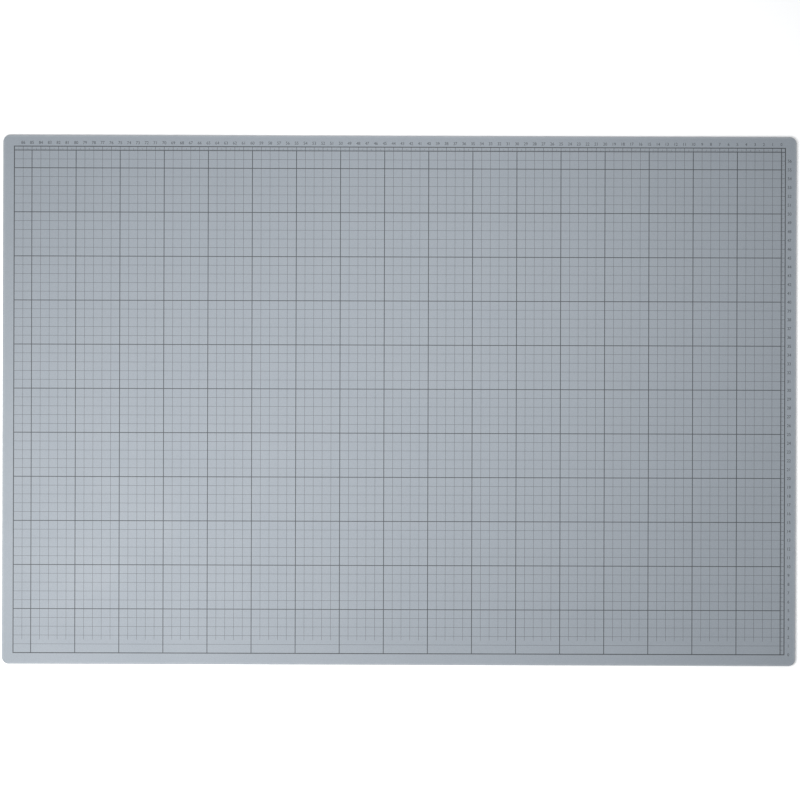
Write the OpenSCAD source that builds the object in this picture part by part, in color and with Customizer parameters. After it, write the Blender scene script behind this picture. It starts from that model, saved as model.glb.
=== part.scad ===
// Self-healing cutting mat: a five-ply flat laminate with a fine and a bold measuring grid,
// a frame line and a ruler band printed on its top face.
// Millimetres. X runs along the length, Y across the width, Z up.
// The origin is the middle of the underside.

/* [Sheet] */
// Length of the mat, along X
mat_length = 900; // [400:10:1500]
// Width of the mat, along Y
mat_width = 600; // [300:10:1000]
// Radius of the die-cut corners
corner_radius = 8; // [2:0.5:20]

/* [Plies] */
// Thickness of the soft skin that rests on the bench
bottom_skin_t = 0.9; // [0.4:0.1:2]
// Thickness of each of the two rigid stiffener sheets
stiffener_t = 0.3; // [0.2:0.05:1]
// Thickness of the middle sheet
core_t = 0.6; // [0.3:0.1:2]
// Thickness of the soft cutting skin on top
top_skin_t = 0.9; // [0.4:0.1:2]

/* [Printed layout] */
// Distance from one fine line to the next
fine_pitch = 10; // [5:1:20]
// Number of fine steps from one bold line to the next
bold_every = 5; // [2:1:10]
// Least plain margin between the frame line and the mat's edge
plain_margin = 12; // [6:0.5:30]
// Distance from the grid's border to the frame line, along the two ruler bands
ruler_band = 4.5; // [4:0.5:10]
// Height of the strip along the near frame line that the crosswise fine lines leave free
free_strip = 15; // [5:1:40]
// Length of the short ruler mark halfway between two long ones
half_mark_length = 2.2; // [1:0.2:2.4]

/* [Printed line widths] */
// Width of a fine grid line
fine_line = 0.3; // [0.1:0.05:0.5]
// Width of a bold grid line
bold_line = 0.85; // [0.4:0.05:1.2]
// Width of the frame line
frame_line = 1.0; // [0.5:0.1:1.5]
// Width of a long ruler mark
long_mark_line = 0.45; // [0.2:0.05:0.8]
// Width of a short ruler mark
half_mark_line = 0.3; // [0.1:0.05:0.5]
// Thickness of the ink left by one printing pass
ink_t = 0.03; // [0.02:0.01:0.1]

/* [Hidden] */
$fn = 64;

// Heights of the plies, from the bench up: each one starts where the last one ends
lower_stiffener_z = bottom_skin_t;
core_z = lower_stiffener_z + stiffener_t;
upper_stiffener_z = core_z + core_t;
top_skin_z = upper_stiffener_z + stiffener_t;
print_z = top_skin_z + top_skin_t;

// The fine lines are printed over the bold ones, one direction after the other
lengthwise_z = print_z + ink_t;
crosswise_z = lengthwise_z + ink_t;

// Whole steps that fit inside the margins beside the ruler band
columns = floor((mat_length - 2 * plain_margin - ruler_band) / fine_pitch);
rows = floor((mat_width - 2 * plain_margin - ruler_band) / fine_pitch);

// The frame line's centre line, centred on the mat
frame_l = columns * fine_pitch + ruler_band;
frame_w = rows * fine_pitch + ruler_band;
left = -frame_l / 2;
right = frame_l / 2;
near = -frame_w / 2;
far = frame_w / 2;

// The grid starts on the frame's left and near lines and stops one ruler band short of the others
grid_right = left + columns * fine_pitch;
grid_far = near + rows * fine_pitch;

// Lines are counted from the grid's right border and from the near frame line
function column_x(i) = grid_right - i * fine_pitch;
function row_y(j) = near + j * fine_pitch;
function is_bold(n) = n % bold_every == 0;

// One full sheet of the laminate, from height z up
module ply(thickness, z) {
    straight_l = mat_length - 2 * corner_radius;
    straight_w = mat_width - 2 * corner_radius;
    translate([0, 0, z])
        linear_extrude(thickness)
            union() {
                square([mat_length, straight_w], center = true);
                square([straight_l, mat_width], center = true);
                for (sx = [-1, 1], sy = [-1, 1])
                    translate([sx * straight_l / 2, sy * straight_w / 2])
                        circle(r = corner_radius);
            }
}

// A printed line along X at height y, from x0 to x1
module line_x(x0, x1, y, width, z) {
    translate([x0, y - width / 2, z]) cube([x1 - x0, width, ink_t]);
}

// A printed line along Y at place x, from y0 to y1
module line_y(y0, y1, x, width, z) {
    translate([x - width / 2, y0, z]) cube([width, y1 - y0, ink_t]);
}

module bottom_skin() {
    color([0.50, 0.53, 0.56]) ply(bottom_skin_t, 0);
}

module lower_stiffener() {
    color([0.88, 0.88, 0.86]) ply(stiffener_t, lower_stiffener_z);
}

module core() {
    color([0.36, 0.38, 0.40]) ply(core_t, core_z);
}

module upper_stiffener() {
    color([0.88, 0.88, 0.86]) ply(stiffener_t, upper_stiffener_z);
}

module top_skin() {
    color([0.63, 0.67, 0.71]) ply(top_skin_t, top_skin_z);
}

// The heavy line around the grid and both ruler bands
module frame_print() {
    color([0.26, 0.28, 0.31])
        translate([0, 0, print_z])
            linear_extrude(ink_t)
                difference() {
                    square([frame_l + frame_line, frame_w + frame_line], center = true);
                    square([frame_l - frame_line, frame_w - frame_line], center = true);
                }
}

// Bold lines from frame to grid border; the two border lines run on across the ruler bands
module bold_grid_print() {
    inner_left = left + frame_line / 2;
    inner_near = near + frame_line / 2;
    inner_right = right - frame_line / 2;
    inner_far = far - frame_line / 2;
    color([0.26, 0.28, 0.31]) {
        line_y(inner_near, inner_far, grid_right, bold_line, print_z);
        line_x(inner_left, inner_right, grid_far, bold_line, print_z);
        for (i = [1 : columns - 1])
            if (is_bold(i))
                line_y(inner_near, grid_far, column_x(i), bold_line, print_z);
        for (j = [1 : rows - 1])
            if (is_bold(j))
                line_x(inner_left, grid_right, row_y(j), bold_line, print_z);
    }
}

// Ruler marks on the far and right bands: a long one at every line, a short one between
module ruler_print() {
    mark_x = grid_right + bold_line / 2;
    mark_y = grid_far + bold_line / 2;
    color([0.26, 0.28, 0.31]) {
        for (i = [1 : columns - 1])
            line_y(mark_y, far - frame_line / 2, column_x(i), long_mark_line, print_z);
        for (i = [0 : columns - 1])
            line_y(mark_y, mark_y + half_mark_length, column_x(i + 0.5), half_mark_line, print_z);
        for (j = [1 : rows - 1])
            line_x(mark_x, right - frame_line / 2, row_y(j), long_mark_line, print_z);
        for (j = [0 : rows - 1])
            line_x(mark_x, mark_x + half_mark_length, row_y(j + 0.5), half_mark_line, print_z);
    }
}

// Fine lines along the length, laid across the bold ones from frame line to border line
module lengthwise_fine_print() {
    color([0.30, 0.32, 0.35])
        for (j = [1 : rows - 1])
            if (!is_bold(j))
                line_x(left, grid_right, row_y(j), fine_line, lengthwise_z);
}

// Fine lines across the width, which leave a strip along the near frame line free
module crosswise_fine_print() {
    color([0.30, 0.32, 0.35])
        for (i = [1 : columns - 1])
            if (!is_bold(i))
                line_y(near + free_strip, grid_far, column_x(i), fine_line, crosswise_z);
}

bottom_skin();
lower_stiffener();
core();
upper_stiffener();
top_skin();
frame_print();
bold_grid_print();
ruler_print();
lengthwise_fine_print();
crosswise_fine_print();
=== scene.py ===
# %% [markdown]
# # A self-healing cutting mat
#
# A cutting mat is a flat laminate: two soft vinyl skins with thin rigid sheets and a core between them.
# A press knife cuts the bonded sheet out in one stroke, and a measuring grid is screen printed on top.
# This lesson builds the sheets as closed surfaces, the print as thin films of ink that lie on the
# cutting skin, and the finishes as node materials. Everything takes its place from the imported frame.

# %% Load the frame
import math

import bpy
import numpy as np
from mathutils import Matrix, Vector


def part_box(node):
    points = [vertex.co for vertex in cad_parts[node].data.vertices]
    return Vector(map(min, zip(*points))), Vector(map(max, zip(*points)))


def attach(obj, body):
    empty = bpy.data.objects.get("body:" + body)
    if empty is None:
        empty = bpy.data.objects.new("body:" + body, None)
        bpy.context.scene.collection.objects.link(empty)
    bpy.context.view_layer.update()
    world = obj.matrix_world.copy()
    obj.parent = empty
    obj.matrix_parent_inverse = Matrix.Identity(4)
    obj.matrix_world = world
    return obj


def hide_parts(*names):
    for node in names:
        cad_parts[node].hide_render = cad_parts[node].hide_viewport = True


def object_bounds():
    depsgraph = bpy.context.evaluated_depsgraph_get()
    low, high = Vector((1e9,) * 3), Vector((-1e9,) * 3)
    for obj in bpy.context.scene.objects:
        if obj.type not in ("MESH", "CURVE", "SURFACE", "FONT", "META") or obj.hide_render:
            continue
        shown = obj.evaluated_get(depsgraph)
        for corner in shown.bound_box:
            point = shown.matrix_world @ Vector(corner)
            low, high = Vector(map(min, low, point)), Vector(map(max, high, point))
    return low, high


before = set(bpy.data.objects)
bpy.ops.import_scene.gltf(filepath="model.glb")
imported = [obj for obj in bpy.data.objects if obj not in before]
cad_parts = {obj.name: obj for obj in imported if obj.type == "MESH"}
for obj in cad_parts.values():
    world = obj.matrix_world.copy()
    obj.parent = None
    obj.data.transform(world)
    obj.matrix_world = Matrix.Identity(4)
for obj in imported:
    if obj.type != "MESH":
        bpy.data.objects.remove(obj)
cad_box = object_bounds()
MM = 0.001
print("frame box in metres:", cad_box)

# %% [markdown]
# ## Where the print lies
#
# The ink nodes of the frame say where the printed lines are. The lengthwise fine lines run from the
# frame line's middle to the grid's right border, and the ring of the frame line gives its own width.
# The first crosswise fine line stands one step from the left, so its near side gives a fine line's
# width. All later steps use these few numbers, so the film of ink always falls on the same lines.

# %% Read the printed layout
FINE_STEP = 10 * MM
BOLD_EVERY = 5

mat_low, mat_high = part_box("top_skin")
ring_low, ring_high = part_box("frame_print")
fine_low, fine_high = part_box("lengthwise_fine_print")
cross_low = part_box("crosswise_fine_print")[0]

left = fine_low.x
grid_right = fine_high.x
frame_line = 2 * (left - ring_low.x)
right = ring_high.x - frame_line / 2
near = ring_low.y + frame_line / 2
far = ring_high.y - frame_line / 2
ruler_band = right - grid_right
grid_far = far - ruler_band
free_near = cross_low.y
fine_line = 2 * (left + FINE_STEP - cross_low.x)

columns = round((grid_right - left) / FINE_STEP)
rows = round((grid_far - near) / FINE_STEP)
column_x = grid_right - FINE_STEP * np.arange(columns + 1)
row_y = near + FINE_STEP * np.arange(rows + 1)
print("columns", columns, "rows", rows, "ruler band in mm", round(ruler_band / MM, 2))
print("frame line and fine line in mm", round(frame_line / MM, 2), round(fine_line / MM, 2))

# %% [markdown]
# ## Meshes from arrays
#
# Every surface below ends as an array of points and an array of four-cornered faces. One short helper
# puts them into a mesh, gives it a material and lets it ride on the mat's only body.

# %% Helpers that make a piece
def grid_faces(index):
    """Four-cornered faces between the neighbours of a two-way array of point numbers."""
    a = index[:-1, :-1]
    b = index[1:, :-1]
    c = index[1:, 1:]
    d = index[:-1, 1:]
    return np.stack([a, b, c, d], axis=-1).reshape(-1, 4)


def make_piece(name, points, faces, material, slot, stands_for=()):
    """A mesh object at the origin from points (n, 3) and faces (m, 4), riding on the mat's body."""
    mesh = bpy.data.meshes.new(name)
    mesh.from_pydata(points.tolist(), [], faces.tolist())
    mesh.update()
    piece = bpy.data.objects.new(name, mesh)
    bpy.context.scene.collection.objects.link(piece)
    mesh.materials.append(material)
    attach(piece, "root")
    if stands_for:
        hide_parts(*stands_for)
    print(name, "has", len(points), "points and", len(faces), "faces")
    return piece


nine_points = np.arange(9).reshape(3, 3)
print("a grid of 3 by 3 points has", len(grid_faces(nine_points)), "faces")

# %% [markdown]
# ## The finish of a soft vinyl skin
#
# The skin comes off an embossing roller, which leaves shallow pebbles less than a millimetre across.
# They scatter light, so the mat looks matt from afar and finely grained up close. Modelling millions of
# pebbles would be a waste: a bump of two noises does it. The same grain shows through the thin ink, so
# it is a node group that the skins and the inks share, each with its own depth.

# %% Small helpers for node trees
def add_node(tree, kind, place, **values):
    """A node of this kind; values are set on the input sockets with those names."""
    node = tree.nodes.new(kind)
    node.location = place
    for name, value in values.items():
        node.inputs[name.replace("_", " ")].default_value = value
    return node


def new_group(name, inputs, outputs):
    """An empty shader node group with named sockets, given as (name, socket type, default value)."""
    group = bpy.data.node_groups.new(name, "ShaderNodeTree")
    for label, kind, value in inputs:
        socket = group.interface.new_socket(label, in_out="INPUT", socket_type=kind)
        if value is not None:
            socket.default_value = value
    for label, kind in outputs:
        group.interface.new_socket(label, in_out="OUTPUT", socket_type=kind)
    entry = group.nodes.new("NodeGroupInput")
    entry.location = (-900, 0)
    result = group.nodes.new("NodeGroupOutput")
    result.location = (700, 0)
    return group, entry, result


# %% The pebble grain group
def pebble_grain_group():
    """Height of the embossed pebbles: rounded cells plus a finer roughness between them."""
    group, entry, result = new_group(
        "pebble grain",
        [("Vector", "NodeSocketVector", None), ("Pebbles per Metre", "NodeSocketFloat", 1100.0)],
        [("Height", "NodeSocketFloat"), ("Hollow", "NodeSocketFloat")],
    )
    links = group.links
    cells = add_node(group, "ShaderNodeTexVoronoi", (-600, 150))
    cells.feature = "SMOOTH_F1"
    cells.inputs["Smoothness"].default_value = 0.6
    links.new(entry.outputs["Vector"], cells.inputs["Vector"])
    links.new(entry.outputs["Pebbles per Metre"], cells.inputs["Scale"])
    finer = add_node(group, "ShaderNodeMath", (-600, -200))
    finer.operation = "MULTIPLY"
    finer.inputs[1].default_value = 2.7
    links.new(entry.outputs["Pebbles per Metre"], finer.inputs[0])
    speck = add_node(group, "ShaderNodeTexNoise", (-400, -200), Detail=3.0, Roughness=0.6)
    links.new(entry.outputs["Vector"], speck.inputs["Vector"])
    links.new(finer.outputs[0], speck.inputs["Scale"])
    dome = add_node(group, "ShaderNodeMapRange", (-350, 150))
    dome.interpolation_type = "SMOOTHSTEP"
    dome.inputs["From Max"].default_value = 0.75
    dome.inputs["To Min"].default_value = 1.0
    dome.inputs["To Max"].default_value = 0.0
    links.new(cells.outputs["Distance"], dome.inputs["Value"])
    height = add_node(group, "ShaderNodeMix", (0, 50))
    height.data_type = "FLOAT"
    height.inputs["Factor"].default_value = 0.35
    links.new(dome.outputs["Result"], height.inputs["A"])
    links.new(speck.outputs["Fac"], height.inputs["B"])
    hollow = add_node(group, "ShaderNodeMath", (250, -150))
    hollow.operation = "SUBTRACT"
    hollow.inputs[0].default_value = 1.0
    links.new(height.outputs["Result"], hollow.inputs[1])
    links.new(height.outputs["Result"], result.inputs["Height"])
    links.new(hollow.outputs[0], result.inputs["Hollow"])
    return group


pebble_grain = pebble_grain_group()
print("node group:", pebble_grain.name)

# %% [markdown]
# Calendered vinyl is never one flat colour. The pigment drifts a little as the sheet is rolled, so the
# colour has wide soft clouds. A second shared group tints a colour with two sizes of cloud.

# %% The soft mottle group
def soft_mottle_group():
    """A colour made lighter and darker by wide clouds, by at most the share called Strength."""
    group, entry, result = new_group(
        "soft mottle",
        [
            ("Vector", "NodeSocketVector", None),
            ("Colour", "NodeSocketColor", (0.5, 0.5, 0.5, 1.0)),
            ("Clouds per Metre", "NodeSocketFloat", 9.0),
            ("Strength", "NodeSocketFloat", 0.06),
        ],
        [("Colour", "NodeSocketColor"), ("Cloud", "NodeSocketFloat")],
    )
    links = group.links
    cloud = add_node(group, "ShaderNodeTexNoise", (-600, 100), Detail=6.0, Roughness=0.62)
    links.new(entry.outputs["Vector"], cloud.inputs["Vector"])
    links.new(entry.outputs["Clouds per Metre"], cloud.inputs["Scale"])
    centred = add_node(group, "ShaderNodeMath", (-350, 100))
    centred.operation = "SUBTRACT"
    centred.inputs[1].default_value = 0.5
    links.new(cloud.outputs["Fac"], centred.inputs[0])
    swing = add_node(group, "ShaderNodeMath", (-150, 100))
    swing.operation = "MULTIPLY_ADD"
    swing.inputs[2].default_value = 1.0
    links.new(centred.outputs[0], swing.inputs[0])
    links.new(entry.outputs["Strength"], swing.inputs[1])
    tint = add_node(group, "ShaderNodeVectorMath", (150, 0))
    tint.operation = "SCALE"
    links.new(entry.outputs["Colour"], tint.inputs[0])
    links.new(swing.outputs[0], tint.inputs["Scale"])
    links.new(tint.outputs["Vector"], result.inputs["Colour"])
    links.new(cloud.outputs["Fac"], result.inputs["Cloud"])
    return group


soft_mottle = soft_mottle_group()
print("node group:", soft_mottle.name)

# %% [markdown]
# The mat is slid in and out of drawers, so its rim is the first place to polish and pale. The wear
# follows the distance from a point to the mat's outline. For a rectangle that is the smaller of the two
# distances to its sides, worked out from the Object coordinates and the mat's half length and width.

# %% The rim wear group
def rim_wear_group():
    """A mask that is 1 on the mat's outline and fades over Width, broken up by noise."""
    group, entry, result = new_group(
        "rim wear",
        [
            ("Vector", "NodeSocketVector", None),
            ("Half Length", "NodeSocketFloat", 0.45),
            ("Half Width", "NodeSocketFloat", 0.3),
            ("Width", "NodeSocketFloat", 0.003),
        ],
        [("Wear", "NodeSocketFloat")],
    )
    links = group.links
    size = add_node(group, "ShaderNodeVectorMath", (-700, 100))
    size.operation = "ABSOLUTE"
    links.new(entry.outputs["Vector"], size.inputs[0])
    parts = add_node(group, "ShaderNodeSeparateXYZ", (-520, 100))
    links.new(size.outputs["Vector"], parts.inputs[0])
    to_side = []
    for axis, label in (("X", "Half Length"), ("Y", "Half Width")):
        away = add_node(group, "ShaderNodeMath", (-320, 200 if axis == "X" else 0))
        away.operation = "SUBTRACT"
        links.new(entry.outputs[label], away.inputs[0])
        links.new(parts.outputs[axis], away.inputs[1])
        to_side.append(away)
    nearest = add_node(group, "ShaderNodeMath", (-120, 100))
    nearest.operation = "MINIMUM"
    links.new(to_side[0].outputs[0], nearest.inputs[0])
    links.new(to_side[1].outputs[0], nearest.inputs[1])
    fade = add_node(group, "ShaderNodeMapRange", (80, 100))
    fade.interpolation_type = "SMOOTHSTEP"
    fade.inputs["To Min"].default_value = 1.0
    fade.inputs["To Max"].default_value = 0.0
    links.new(nearest.outputs[0], fade.inputs["Value"])
    links.new(entry.outputs["Width"], fade.inputs["From Max"])
    patches = add_node(group, "ShaderNodeTexNoise", (-120, -200), Scale=160.0, Detail=4.0)
    links.new(entry.outputs["Vector"], patches.inputs["Vector"])
    broken = add_node(group, "ShaderNodeMath", (300, 0))
    broken.operation = "MULTIPLY"
    links.new(fade.outputs["Result"], broken.inputs[0])
    links.new(patches.outputs["Fac"], broken.inputs[1])
    links.new(broken.outputs[0], result.inputs["Wear"])
    return group


rim_wear = rim_wear_group()
print("node group:", rim_wear.name)

# %% [markdown]
# A press knife leaves fine upright lines wherever it has cut, on the soft skins and on the hard sheets.
# A noise squeezed flat along Z gives them: it changes quickly along an edge and slowly up it. The lines
# belong on the cut sides only, so the group also reads which way the surface faces. Where it looks
# sideways, the height of its normal is near nought, and the mask called Side opens.
# The deepest lines also darken the colour of the sides: that is painted shade in the grooves.

# %% The knife drag group
KNIFE_SQUEEZE = (1.0, 1.0, 0.08)


def knife_drag_group():
    """Upright lines on the sides: their Height, a mask of the deepest ones for painted shade, and the mask
    Side.
    """
    group, entry, result = new_group(
        "knife drag",
        [
            ("Vector", "NodeSocketVector", None),
            ("Normal", "NodeSocketVector", None),
            ("Lines per Metre", "NodeSocketFloat", 3600.0),
        ],
        [("Height", "NodeSocketFloat"), ("Groove Shade", "NodeSocketFloat"), ("Side", "NodeSocketFloat")],
    )
    links = group.links
    squeeze = add_node(group, "ShaderNodeVectorMath", (-650, 150))
    squeeze.operation = "MULTIPLY"
    squeeze.inputs[1].default_value = KNIFE_SQUEEZE
    links.new(entry.outputs["Vector"], squeeze.inputs[0])
    lines = add_node(group, "ShaderNodeTexNoise", (-400, 150), Detail=3.0)
    links.new(squeeze.outputs["Vector"], lines.inputs["Vector"])
    links.new(entry.outputs["Lines per Metre"], lines.inputs["Scale"])
    deepest = add_node(group, "ShaderNodeMapRange", (-100, 150))
    deepest.inputs["From Min"].default_value = 0.48
    deepest.inputs["From Max"].default_value = 0.66
    links.new(lines.outputs["Fac"], deepest.inputs["Value"])
    facing = add_node(group, "ShaderNodeSeparateXYZ", (-650, -200))
    links.new(entry.outputs["Normal"], facing.inputs[0])
    upright = add_node(group, "ShaderNodeMath", (-400, -200))
    upright.operation = "ABSOLUTE"
    links.new(facing.outputs["Z"], upright.inputs[0])
    side = add_node(group, "ShaderNodeMapRange", (-100, -200))
    side.inputs["From Min"].default_value = 0.15
    side.inputs["From Max"].default_value = 0.6
    side.inputs["To Min"].default_value = 1.0
    side.inputs["To Max"].default_value = 0.0
    links.new(upright.outputs[0], side.inputs["Value"])
    # Painted shade: the deepest knife lines on the sides, which darken the colour.
    groove_shade = add_node(group, "ShaderNodeMath", (250, 0))
    groove_shade.operation = "MULTIPLY"
    links.new(deepest.outputs["Result"], groove_shade.inputs[0])
    links.new(side.outputs["Result"], groove_shade.inputs[1])
    links.new(lines.outputs["Fac"], result.inputs["Height"])
    links.new(groove_shade.outputs[0], result.inputs["Groove Shade"])
    links.new(side.outputs["Result"], result.inputs["Side"])
    return group


knife_drag = knife_drag_group()
print("node group:", knife_drag.name)

# %% [markdown]
# ## The materials
#
# Each material keeps its own Principled BSDF, reads Object coordinates and places the shared groups with
# its own values. The cutting skin is a mid blue-grey vinyl, matt but not dusty: its roughness sits near
# 0.5 and drifts a little with the clouds, so long reflections break up as they do on the real sheet.

# %% Soft vinyl for the two skins
HALF_LENGTH = mat_high.x
HALF_WIDTH = mat_high.y
# Painted shade, multiplied into the hollows between the pebbles.
HOLLOW_SHADE = (0.82, 0.83, 0.85, 1.0)
# Painted shade, multiplied into the deepest knife lines on the cut sides.
SCORE_SHADE = (0.72, 0.72, 0.73, 1.0)


def place_group(tree, group, place, **values):
    """A group node in a material, with values set on the sockets with those names."""
    node = tree.nodes.new("ShaderNodeGroup")
    node.node_tree = group
    node.location = place
    for name, value in values.items():
        node.inputs[name.replace("_", " ")].default_value = value
    return node


def new_material(name):
    """A material with its Principled BSDF and the Object coordinates that its patterns read."""
    material = bpy.data.materials.new(name)
    material.use_nodes = True
    tree = material.node_tree
    shader = tree.nodes["Principled BSDF"]
    shader.location = (500, 0)
    where = tree.nodes.new("ShaderNodeTexCoord")
    where.location = (-900, 0)
    return material, tree, shader, where.outputs["Object"]


def mix_colours(tree, share, under, over, mode):
    """The colour under, blended with the constant colour over by the linked share."""
    node = tree.nodes.new("ShaderNodeMix")
    node.data_type = "RGBA"
    node.blend_type = mode
    factor, first, second = node.inputs[0], node.inputs[6], node.inputs[7]
    second.default_value = over
    tree.links.new(share, factor)
    tree.links.new(under, first)
    return node.outputs[2]


def linked_roughness(tree, shader, source, low, high):
    """Roughness that runs from low to high as source runs over the middle of its range."""
    spread = add_node(tree, "ShaderNodeMapRange", (200, -200))
    spread.inputs["From Min"].default_value = 0.3
    spread.inputs["From Max"].default_value = 0.7
    spread.inputs["To Min"].default_value = low
    spread.inputs["To Max"].default_value = high
    tree.links.new(source, spread.inputs["Value"])
    tree.links.new(spread.outputs["Result"], shader.inputs["Roughness"])


def bumped(tree, shader, height, depth):
    """A height socket as a bump of that depth, in metres."""
    bump = add_node(tree, "ShaderNodeBump", (250, -450), Strength=1.0, Distance=depth)
    tree.links.new(height, bump.inputs["Height"])
    tree.links.new(bump.outputs["Normal"], shader.inputs["Normal"])


def place_knife_drag(tree, where):
    """The knife drag group, fed with the place and the direction of the surface."""
    drag = place_group(tree, knife_drag, (-600, -550))
    tree.links.new(where, drag.inputs["Vector"])
    tree.links.new(where.node.outputs["Normal"], drag.inputs["Normal"])
    return drag


def vinyl_skin(name, colour, worn, roughness, depth):
    """Embossed soft vinyl: mottled, with hollows and the deepest knife lines on its side darkened as
    painted shade, and a paler worn rim.
    """
    material, tree, shader, where = new_material(name)
    mottle = place_group(tree, soft_mottle, (-600, 250), Colour=colour, Strength=0.1)
    grain = place_group(tree, pebble_grain, (-600, -250))
    wear = place_group(tree, rim_wear, (-600, 0), Half_Length=HALF_LENGTH, Half_Width=HALF_WIDTH)
    for node in (mottle, grain, wear):
        tree.links.new(where, node.inputs["Vector"])
    # Painted shade darkens the hollows between the pebbles.
    hollow = mix_colours(tree, grain.outputs["Hollow"], mottle.outputs["Colour"], HOLLOW_SHADE, "MULTIPLY")
    rim = mix_colours(tree, wear.outputs["Wear"], hollow, worn, "MIX")
    drag = place_knife_drag(tree, where)
    # Painted shade darkens the deepest knife lines on the side.
    groove_shaded = mix_colours(tree, drag.outputs["Groove Shade"], rim, SCORE_SHADE, "MULTIPLY")
    tree.links.new(groove_shaded, shader.inputs["Base Color"])
    linked_roughness(tree, shader, mottle.outputs["Cloud"], *roughness)
    height = add_node(tree, "ShaderNodeMix", (0, -450))
    height.data_type = "FLOAT"
    tree.links.new(drag.outputs["Side"], height.inputs["Factor"])
    tree.links.new(grain.outputs["Height"], height.inputs["A"])
    tree.links.new(drag.outputs["Height"], height.inputs["B"])
    bumped(tree, shader, height.outputs["Result"], depth)
    shader.inputs["IOR"].default_value = 1.5
    return material


cutting_vinyl = vinyl_skin(
    "cutting skin vinyl", (0.224, 0.249, 0.274, 1.0), (0.29, 0.31, 0.33, 1.0), (0.46, 0.58), 25e-6
)
under_vinyl = vinyl_skin(
    "under skin vinyl", (0.145, 0.160, 0.178, 1.0), (0.24, 0.26, 0.28, 1.0), (0.52, 0.66), 40e-6
)
print("materials:", cutting_vinyl.name, "and", under_vinyl.name)

# %% [markdown]
# ## Rigid sheets, core and ink
#
# The two stiffeners are hard off-white sheets and the core is a dark one. Only their cut edges show, so
# they need little more than the knife lines, which are deeper in hard plastic than in the soft skins.
# The ink is a dull film. It follows the pebbles of the skin under it, and its cover is a little uneven,
# because it came through a mesh.

# %% Cut sheet and ink materials
KNIFE_DEPTH = 60e-6
INK_GRAIN_DEPTH = 18e-6


def cut_sheet(name, colour, strength, roughness):
    """A hard sheet seen at its cut edge: faint mottling and upright knife lines, the deepest darkened as
    painted shade.
    """
    material, tree, shader, where = new_material(name)
    mottle = place_group(
        tree, soft_mottle, (-600, 250), Colour=colour, Clouds_per_Metre=60.0, Strength=strength
    )
    tree.links.new(where, mottle.inputs["Vector"])
    drag = place_knife_drag(tree, where)
    # Painted shade darkens the deepest knife lines on the cut edge.
    groove_shaded = mix_colours(tree, drag.outputs["Groove Shade"], mottle.outputs["Colour"], SCORE_SHADE, "MULTIPLY")
    tree.links.new(groove_shaded, shader.inputs["Base Color"])
    linked_roughness(tree, shader, mottle.outputs["Cloud"], *roughness)
    bumped(tree, shader, drag.outputs["Height"], KNIFE_DEPTH)
    return material


def screen_ink(name, colour, thin, roughness):
    """Dull printing ink: its colour pales where the cover is thin, and the skin's grain shows."""
    material, tree, shader, where = new_material(name)
    mottle = place_group(
        tree, soft_mottle, (-600, 250), Colour=colour, Clouds_per_Metre=45.0, Strength=0.22
    )
    grain = place_group(tree, pebble_grain, (-600, -250))
    for node in (mottle, grain):
        tree.links.new(where, node.inputs["Vector"])
    cover = add_node(tree, "ShaderNodeMapRange", (-300, -50))
    cover.inputs["From Min"].default_value = 0.55
    cover.inputs["From Max"].default_value = 0.95
    cover.inputs["To Max"].default_value = 0.35
    tree.links.new(grain.outputs["Hollow"], cover.inputs["Value"])
    colour_out = mix_colours(tree, cover.outputs["Result"], mottle.outputs["Colour"], thin, "MIX")
    tree.links.new(colour_out, shader.inputs["Base Color"])
    linked_roughness(tree, shader, mottle.outputs["Cloud"], *roughness)
    bumped(tree, shader, grain.outputs["Height"], INK_GRAIN_DEPTH)
    return material


stiff_plastic = cut_sheet("stiffener sheet", (0.62, 0.62, 0.59, 1.0), 0.12, (0.4, 0.55))
core_plastic = cut_sheet("core sheet", (0.055, 0.062, 0.070, 1.0), 0.2, (0.5, 0.7))
bold_ink = screen_ink("bold ink", (0.026, 0.030, 0.035, 1.0), (0.060, 0.068, 0.078, 1.0), (0.55, 0.68))
fine_ink = screen_ink("fine ink", (0.032, 0.036, 0.042, 1.0), (0.075, 0.084, 0.095, 1.0), (0.55, 0.68))
print("materials:", stiff_plastic.name, core_plastic.name, bold_ink.name, fine_ink.name)

# %% [markdown]
# ## The bonded sheets
#
# A sheet is a rounded rectangle with a thickness. Scaling a disc of triangles would crowd them in the
# middle, so each flat side is a Coons patch: a grid stretched between four edge curves. Each edge curve
# runs from the middle of one rounded corner to the middle of the next. The rim is a small profile
# carried round the same outline, so flats and rim share their points and the sheet is closed.

# %% The outline's four edges
CORNER_RADIUS = 8 * MM
ARC_STEPS = 7
LONG_STEPS = 44
SHORT_STEPS = 30


def edge_curve(half_run, half_depth, radius, steps):
    """Half an arc, a straight and half an arc along the near side, for x growing, as points (n, 2)."""
    quarter = np.pi / 4
    first = np.linspace(-3 * quarter, -2 * quarter, ARC_STEPS + 1)
    second = np.linspace(-2 * quarter, -quarter, ARC_STEPS + 1)
    run = half_run - radius
    depth = half_depth - radius
    arc_in = np.stack([-run + radius * np.cos(first), -depth + radius * np.sin(first)], axis=1)
    arc_out = np.stack([run + radius * np.cos(second), -depth + radius * np.sin(second)], axis=1)
    straight = np.linspace(arc_in[-1], arc_out[0], steps + 1)[1:-1]
    return np.concatenate([arc_in, straight, arc_out])


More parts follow.
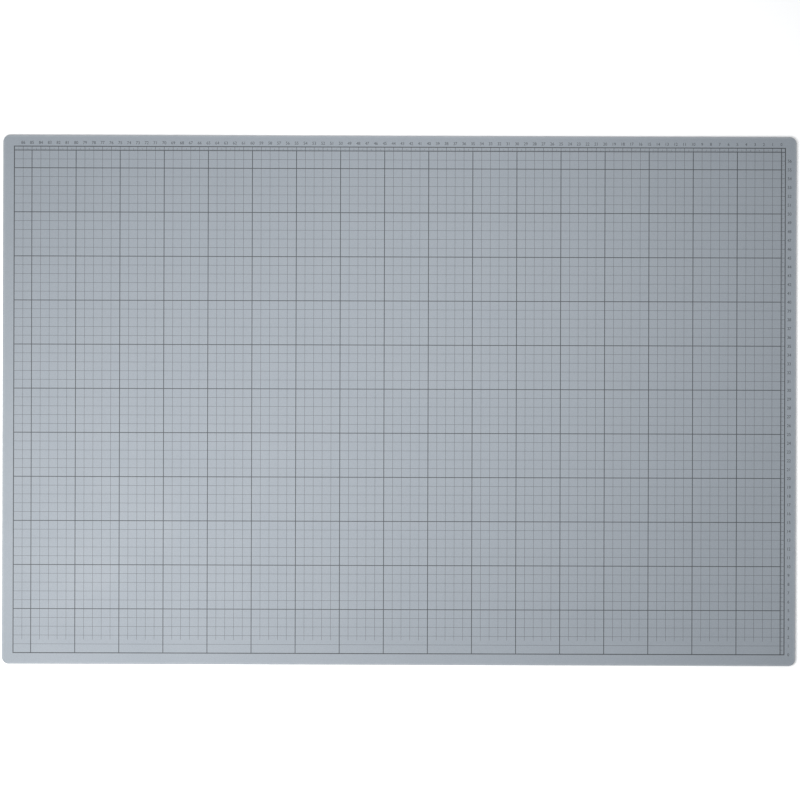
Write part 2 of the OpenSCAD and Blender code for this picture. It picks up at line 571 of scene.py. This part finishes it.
def coons_patch(half_length, half_width, radius):
    """Points (n, m, 2) blended from four edges: the two straight blends, less the corners' blend."""
    near_edge = edge_curve(half_length, half_width, radius, LONG_STEPS)
    far_edge = near_edge * (1, -1)
    right_edge = edge_curve(half_width, half_length, radius, SHORT_STEPS)[:, ::-1] * (-1, 1)
    left_edge = right_edge * (-1, 1)
    s = (near_edge[:, 0] - near_edge[0, 0]) / (near_edge[-1, 0] - near_edge[0, 0])
    t = (left_edge[:, 1] - left_edge[0, 1]) / (left_edge[-1, 1] - left_edge[0, 1])
    s = s[:, None, None]
    t = t[None, :, None]
    across = (1 - t) * near_edge[:, None] + t * far_edge[:, None]
    along = (1 - s) * left_edge[None] + s * right_edge[None]
    low = (1 - s) * near_edge[0] + s * near_edge[-1]
    high = (1 - s) * far_edge[0] + s * far_edge[-1]
    return across + along - ((1 - t) * low + t * high)


flat = coons_patch(HALF_LENGTH, HALF_WIDTH, CORNER_RADIUS)
print("one flat side has", flat.shape[0], "by", flat.shape[1], "points")

# %% [markdown]
# The press knife draws the soft skin over as it enters, so the top edge of the cutting skin is slightly
# rolled. The hard sheets break cleanly and stand back by a hair. Each sheet's rim is a list of steps:
# how far the outline is drawn in, and at what height.

# %% Build a closed sheet
def quarter_round(size, steps=4):
    """Draw-in and drop along a quarter circle of that size, from the flat to the side."""
    turn = np.linspace(0, np.pi / 2, steps + 1)
    return size * (1 - np.sin(turn)), size * (1 - np.cos(turn))


def rim_profile(low, high, set_back, top_round, bottom_round):
    """(draw-in, height) pairs down the rim: top round, side, bottom round."""
    top_in, top_drop = quarter_round(top_round)
    bottom_in, bottom_drop = quarter_round(bottom_round)
    draw_in = np.concatenate([top_in, bottom_in[::-1]]) + set_back
    height = np.concatenate([high - top_drop, low + bottom_drop[::-1]])
    return draw_in, height


def outline_loop(count_s, count_t):
    """Indices round a grid's border, once, anticlockwise from above, as (i, j) arrays."""
    last_i = count_s - 1
    last_j = count_t - 1
    i_up = np.arange(last_i)
    j_up = np.arange(last_j)
    i = np.concatenate([i_up, np.full(last_j, last_i), i_up[::-1] + 1, np.zeros(last_j, int)])
    j = np.concatenate([np.zeros(last_i, int), j_up, np.full(last_i, last_j), j_up[::-1] + 1])
    return i, j


def at_height(plan, z):
    """Points (n, 3): the points of a plan, all at one height."""
    flat_points = plan.reshape(-1, 2)
    return np.column_stack([flat_points, np.full(len(flat_points), z)])


def sheet_mesh(low, high, set_back, top_round, bottom_round):
    """Points and faces of a closed sheet: a Coons patch above, one below, and the rim between them."""
    draw_in, height = rim_profile(low, high, set_back, top_round, bottom_round)
    layers = [coons_patch(HALF_LENGTH - d, HALF_WIDTH - d, CORNER_RADIUS - d) for d in draw_in]
    count_s, count_t = layers[0].shape[:2]
    i, j = outline_loop(count_s, count_t)
    rings = [at_height(layer[i, j], z) for layer, z in zip(layers[1:-1], height[1:-1])]
    top = at_height(layers[0], height[0])
    base = at_height(layers[-1], height[-1])
    points = np.concatenate([top, base, *rings])
    top_index = np.arange(len(top)).reshape(count_s, count_t)
    base_index = top_index + len(top)
    ring_index = 2 * len(top) + np.arange(len(rings) * len(i)).reshape(len(rings), len(i))
    levels = np.concatenate([top_index[i, j][None], ring_index, base_index[i, j][None]])
    closed = np.concatenate([levels, levels[:, :1]], axis=1)
    faces = np.concatenate([grid_faces(top_index), grid_faces(base_index)[:, ::-1], grid_faces(closed)])
    return points, faces


draw_in, drop = quarter_round(0.3)
print("a rolled edge of 0.3 mm draws in by", np.round(draw_in, 3), "and drops by", np.round(drop, 3))

# %% The five sheets
def shade_rounded(piece):
    """Smooth shading that keeps edges sharper than a third of a right angle."""
    piece.data.shade_smooth()
    piece.data.set_sharp_from_angle(angle=math.radians(30))


def sheet(name, node, material, slot, set_back, top_round, bottom_round):
    """A closed sheet in the place of a CAD ply; the last three are in millimetres."""
    low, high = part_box(node)
    points, faces = sheet_mesh(low.z, high.z, set_back * MM, top_round * MM, bottom_round * MM)
    piece = make_piece(name, points, faces, material, slot, [node])
    shade_rounded(piece)
    return piece


sheet("under_sheet", "bottom_skin", under_vinyl, "under_skin", 0, 0.06, 0.25)
sheet("lower_stiff_sheet", "lower_stiffener", stiff_plastic, "stiffener_sheet", 0.07, 0.02, 0.02)
sheet("core_layer", "core", core_plastic, "core_sheet", 0.03, 0.05, 0.05)
sheet("upper_stiff_sheet", "upper_stiffener", stiff_plastic, "stiffener_sheet", 0.07, 0.02, 0.02)
sheet("cutting_sheet", "top_skin", cutting_vinyl, "cutting_skin", 0, 0.3, 0.06)

# %% [markdown]
# ## The printed grid as films of ink
#
# An image of the grid would blur up close, and thousands of thin boxes would overlap at each crossing.
# Instead every printed line is a rectangle, and all their sides together cut the plane into cells. A cell
# is inked if its middle lies in any rectangle. Two comparisons and one matrix product answer that for
# all cells at once, and the inked cells become one closed film, with walls only where ink meets none.

# %% A film of ink from rectangles
INK = 0.02 * MM
INK_BASE = mat_high.z


def inside(edges, low, high):
    """For each gap between neighbouring edges, whether its middle lies between low and high."""
    middle = (edges[:-1] + edges[1:]) / 2
    return (middle[:, None] > low[None]) & (middle[:, None] < high[None])


def inked_cells(x_edges, y_edges, boxes):
    """Which cells of the plane lie in any of the rectangles (x0, x1, y0, y1)."""
    in_x = inside(x_edges, boxes[:, 0], boxes[:, 1]).astype(np.float32)
    in_y = inside(y_edges, boxes[:, 2], boxes[:, 3]).astype(np.float32)
    return in_x @ in_y.T > 0


def film_mesh(boxes, kept_clear=None):
    """Points and faces of a closed film over the rectangles, left open over those in kept_clear."""
    every = boxes if kept_clear is None else np.concatenate([boxes, kept_clear])
    x_edges = np.unique(np.round(every[:, :2], 7))
    y_edges = np.unique(np.round(every[:, 2:], 7))
    ink = inked_cells(x_edges, y_edges, boxes)
    if kept_clear is not None:
        ink &= ~inked_cells(x_edges, y_edges, kept_clear)
    index = np.arange(2 * len(x_edges) * len(y_edges)).reshape(2, len(x_edges), len(y_edges))
    base, top = index
    framed = np.pad(ink, 1)
    i, j = np.nonzero(ink)
    faces = [
        np.stack([top[i, j], top[i + 1, j], top[i + 1, j + 1], top[i, j + 1]], axis=1),
        np.stack([base[i, j], base[i, j + 1], base[i + 1, j + 1], base[i + 1, j]], axis=1),
    ]
    walls = [
        (ink & ~framed[:-2, 1:-1], (0, 1), (0, 0)),
        (ink & ~framed[2:, 1:-1], (1, 0), (1, 1)),
        (ink & ~framed[1:-1, :-2], (0, 0), (1, 0)),
        (ink & ~framed[1:-1, 2:], (1, 1), (0, 1)),
    ]
    for open_side, (i0, j0), (i1, j1) in walls:
        i, j = np.nonzero(open_side)
        first, last = (i + i0, j + j0), (i + i1, j + j1)
        faces.append(np.stack([base[first], base[last], top[last], top[first]], axis=1))
    faces = np.concatenate(faces)
    grid_x, grid_y = np.meshgrid(x_edges, y_edges, indexing="ij")
    flat_points = np.column_stack([grid_x.ravel(), grid_y.ravel()])
    heights = np.repeat([INK_BASE, INK_BASE + INK], len(flat_points))
    points = np.column_stack([np.tile(flat_points, (2, 1)), heights])
    used, numbered = np.unique(faces, return_inverse=True)
    return points[used], numbered.reshape(faces.shape)


def line_boxes(across, width, start, end, along_x):
    """Rectangles of that width centred on each value of across, running from start to end."""
    across = np.atleast_1d(across)
    low = across - width / 2
    high = across + width / 2
    start = np.full_like(across, start)
    end = np.full_like(across, end)
    sides = (start, end, low, high) if along_x else (low, high, start, end)
    return np.stack(sides, axis=1)


crossing = np.concatenate([
    line_boxes(0.0, 1 * MM, -5 * MM, 5 * MM, True),
    line_boxes(0.0, 1 * MM, -5 * MM, 5 * MM, False),
])
print("two crossing lines make a film of", len(film_mesh(crossing)[1]), "faces")

# %% [markdown]
# The layout has a rhythm: four fine lines, then a bold one. Two border lines run on to the frame line,
# where they box in the corner of the rulers. The fine film is kept clear of the bold one, so ink never
# lies twice. The crosswise fine lines stop short of the near frame line and leave a strip there free.

# %% Print the grid
BOLD_LINE = 0.85 * MM

inner_left = left + frame_line / 2
inner_right = right - frame_line / 2
inner_near = near + frame_line / 2
inner_far = far - frame_line / 2

bold_x = column_x[BOLD_EVERY:columns:BOLD_EVERY]
bold_y = row_y[BOLD_EVERY:rows:BOLD_EVERY]
fine_x = np.setdiff1d(column_x[1:columns], bold_x)
fine_y = np.setdiff1d(row_y[1:rows], bold_y)

frame_boxes = np.concatenate([
    line_boxes([near, far], frame_line, left - frame_line / 2, right + frame_line / 2, True),
    line_boxes([left, right], frame_line, near - frame_line / 2, far + frame_line / 2, False),
])
bold_boxes = np.concatenate([
    line_boxes(bold_y, BOLD_LINE, inner_left, grid_right, True),
    line_boxes(bold_x, BOLD_LINE, inner_near, grid_far, False),
    line_boxes(grid_far, BOLD_LINE, inner_left, inner_right, True),
    line_boxes(grid_right, BOLD_LINE, inner_near, inner_far, False),
])
fine_boxes = np.concatenate([
    line_boxes(fine_y, fine_line, inner_left, grid_right, True),
    line_boxes(fine_x, fine_line, free_near, grid_far, False),
])

make_piece("frame_line_film", *film_mesh(frame_boxes), bold_ink, "bold_ink", ["frame_print"])
make_piece("bold_grid_film", *film_mesh(bold_boxes), bold_ink, "bold_ink", ["bold_grid_print"])
make_piece(
    "fine_grid_film", *film_mesh(fine_boxes, bold_boxes), fine_ink, "fine_ink",
    ["lengthwise_fine_print", "crosswise_fine_print"],
)

# %% [markdown]
# The far ruler counts from its right end, and the right one from its near end. A long mark crosses the
# band at every centimetre, a shorter one stands at each half, and millimetre marks fill the rest.

# %% Print the ruler marks
LONG_MARK = 0.45 * MM
HALF_MARK = 0.3 * MM
SMALL_MARK = 0.15 * MM
HALF_LENGTH_MARK = 2.2 * MM
SMALL_LENGTH_MARK = 1.3 * MM


def ruler_boxes(zero, steps, direction, inner, outer, along_x):
    """Marks of one ruler: long, half and millimetre ones, as rectangles."""
    step = direction * FINE_STEP
    long_at = zero + step * np.arange(1, steps)
    half_at = zero + step * (np.arange(steps) + 0.5)
    small = np.arange(10 * steps)
    small_at = zero + step / 10 * small[small % 5 != 0]
    return np.concatenate([
        line_boxes(long_at, LONG_MARK, inner, outer, along_x),
        line_boxes(half_at, HALF_MARK, inner, inner + HALF_LENGTH_MARK, along_x),
        line_boxes(small_at, SMALL_MARK, inner, inner + SMALL_LENGTH_MARK, along_x),
    ])


far_ruler = ruler_boxes(grid_right, columns, -1, grid_far + BOLD_LINE / 2, inner_far, False)
right_ruler = ruler_boxes(near, rows, 1, grid_right + BOLD_LINE / 2, inner_right, True)
ruler_marks = np.concatenate([far_ruler, right_ruler])
make_piece("ruler_film", *film_mesh(ruler_marks), bold_ink, "bold_ink", ["ruler_print"])

# %% [markdown]
# ## Numerals
#
# The centimetre lines are numbered in the plain margin outside the frame line. A numeral is text with a
# hair of thickness, which is made a mesh before it is placed. A digit stands seven tenths of its font's
# size tall. Only the ten digits are made: each number is a row of copies, joined as arrays into one
# printed piece.

# %% Make the ten digits
DIGIT_HEIGHT = 3.4 * MM
DIGIT_SHARE_OF_SIZE = 0.7
DIGIT_SPACING = 2.3 * MM
NUMERAL_GAP = 2.0 * MM


def digit_mesh(digit):
    """Points and triangles of one digit as a thin closed film, centred on its own width."""
    text = bpy.data.curves.new("digit", "FONT")
    text.body = str(digit)
    text.size = DIGIT_HEIGHT / DIGIT_SHARE_OF_SIZE
    text.resolution_u = 3
    text.extrude = INK / 2
    holder = bpy.data.objects.new("digit", text)
    bpy.context.scene.collection.objects.link(holder)
    bpy.context.view_layer.update()
    evaluated = holder.evaluated_get(bpy.context.evaluated_depsgraph_get())
    made = bpy.data.meshes.new_from_object(evaluated)
    points = np.empty(len(made.vertices) * 3)
    made.vertices.foreach_get("co", points)
    points = points.reshape(-1, 3)
    made.calc_loop_triangles()
    triangles = np.empty(len(made.loop_triangles) * 3, int)
    made.loop_triangles.foreach_get("vertices", triangles)
    bpy.data.objects.remove(holder)
    bpy.data.curves.remove(text)
    bpy.data.meshes.remove(made)
    points[:, 0] -= (points[:, 0].min() + points[:, 0].max()) / 2
    points[:, 1] -= (points[:, 1].min() + points[:, 1].max()) / 2
    points[:, 2] += INK_BASE + INK / 2
    return points, triangles.reshape(-1, 3)


digits = [digit_mesh(digit) for digit in range(10)]
print("triangles in each digit:", [len(triangles) for _, triangles in digits])

# %% Number the two rulers
def number_mesh(value, x, y):
    """The digits of a whole number in a row centred on x and y."""
    shown = [digits[int(character)] for character in str(value)]
    places = x + DIGIT_SPACING * (np.arange(len(shown)) - (len(shown) - 1) / 2)
    return [(points + (place, y, 0), triangles) for (points, triangles), place in zip(shown, places)]


def join_meshes(parts):
    """One array of points and one of faces from many."""
    starts = np.cumsum([0] + [len(points) for points, _ in parts[:-1]])
    points = np.concatenate([points for points, _ in parts])
    faces = np.concatenate([faces + start for (_, faces), start in zip(parts, starts)])
    return points, faces


number_row = far + frame_line / 2 + NUMERAL_GAP + DIGIT_HEIGHT / 2
number_column = right + frame_line / 2 + NUMERAL_GAP + DIGIT_SPACING
printed = []
for count in range(columns):
    printed += number_mesh(count, column_x[count], number_row)
for count in range(rows):
    printed += number_mesh(count, number_column, row_y[count])
make_piece("numerals_film", *join_meshes(printed), bold_ink, "bold_ink")

# %% [markdown]
# ## Floor, light and camera
#
# The mat lies on a plain white floor. A soft box stands over its left front part, a weaker one hangs over
# the middle, and a faint one hangs low behind the middle; an even pale sky fills the shadows. The first
# box is close, so its light falls off across the mat and the near left part is brightest. The camera
# looks straight down and is turned by a sixth of a degree, as a hand-held one would be.

# %% The floor
FLOOR_REACH = 12.0
FLOOR_GAP = 0.05 * MM


def floor_plane(reach, height):
    """A square of floor centred under the mat."""
    mesh = bpy.data.meshes.new("floor")
    turns = [(-1, -1), (1, -1), (1, 1), (-1, 1)]
    corners = [(reach * x, reach * y, height) for x, y in turns]
    mesh.from_pydata(corners, [], [(0, 1, 2, 3)])
    floor = bpy.data.objects.new("floor", mesh)
    bpy.context.scene.collection.objects.link(floor)
    material = bpy.data.materials.new("white floor")
    material.use_nodes = True
    shader = material.node_tree.nodes["Principled BSDF"]
    shader.inputs["Base Color"].default_value = (0.94, 0.94, 0.94, 1.0)
    shader.inputs["Roughness"].default_value = 0.9
    shader.inputs["Specular IOR Level"].default_value = 0.1
    mesh.materials.append(material)


floor_plane(FLOOR_REACH, cad_box[0][2] - FLOOR_GAP)

# %% The soft boxes and the sky
def soft_box(name, place, target, side, power):
    """A square area light at place that faces target."""
    light = bpy.data.lights.new(name, "AREA")
    light.shape = "SQUARE"
    light.size = side
    light.energy = power
    lamp = bpy.data.objects.new(name, light)
    lamp.location = place
    lamp.rotation_euler = (Vector(target) - Vector(place)).to_track_quat("-Z", "Y").to_euler()
    lamp.visible_camera = False
    bpy.context.scene.collection.objects.link(lamp)


BOX_SIDE = 0.6
MAT_MIDDLE = (0.0, 0.0, 0.0)

soft_box("key box", (-0.52, -0.31, 0.88), MAT_MIDDLE, BOX_SIDE, 9.4)
soft_box("overhead box", (0.0, 0.0, 1.0), MAT_MIDDLE, BOX_SIDE, 2.9)
soft_box("fill box", (0.10, 0.15, 0.5), (-0.1, -0.2, 0.0), BOX_SIDE, 0.95)
print("soft boxes:", [light.name for light in bpy.data.lights])

sky = bpy.data.worlds.new("pale sky")
sky.use_nodes = True
background = sky.node_tree.nodes["Background"]
background.inputs["Color"].default_value = (0.97, 0.985, 1.0, 1.0)
background.inputs["Strength"].default_value = 0.645
bpy.context.scene.world = sky

# %% The camera
VIEW_WIDTH = 0.9074
DISTANCE = 2.6
TURN = math.radians(0.17)
OVER_X = 0.9 * MM
OVER_Y = 0.5 * MM

lens = bpy.data.cameras.new("overhead")
lens.sensor_width = 36.0
lens.lens = lens.sensor_width * DISTANCE / VIEW_WIDTH
lens.clip_start = 0.01
lens.clip_end = 100.0
camera = bpy.data.objects.new("overhead", lens)
camera.location = (OVER_X, OVER_Y, mat_high.z + DISTANCE)
camera.rotation_euler = (0.0, 0.0, TURN)
bpy.context.scene.collection.objects.link(camera)
bpy.context.scene.camera = camera
bpy.context.scene.view_settings.view_transform = "Standard"
print("lens in mm:", round(lens.lens, 2))
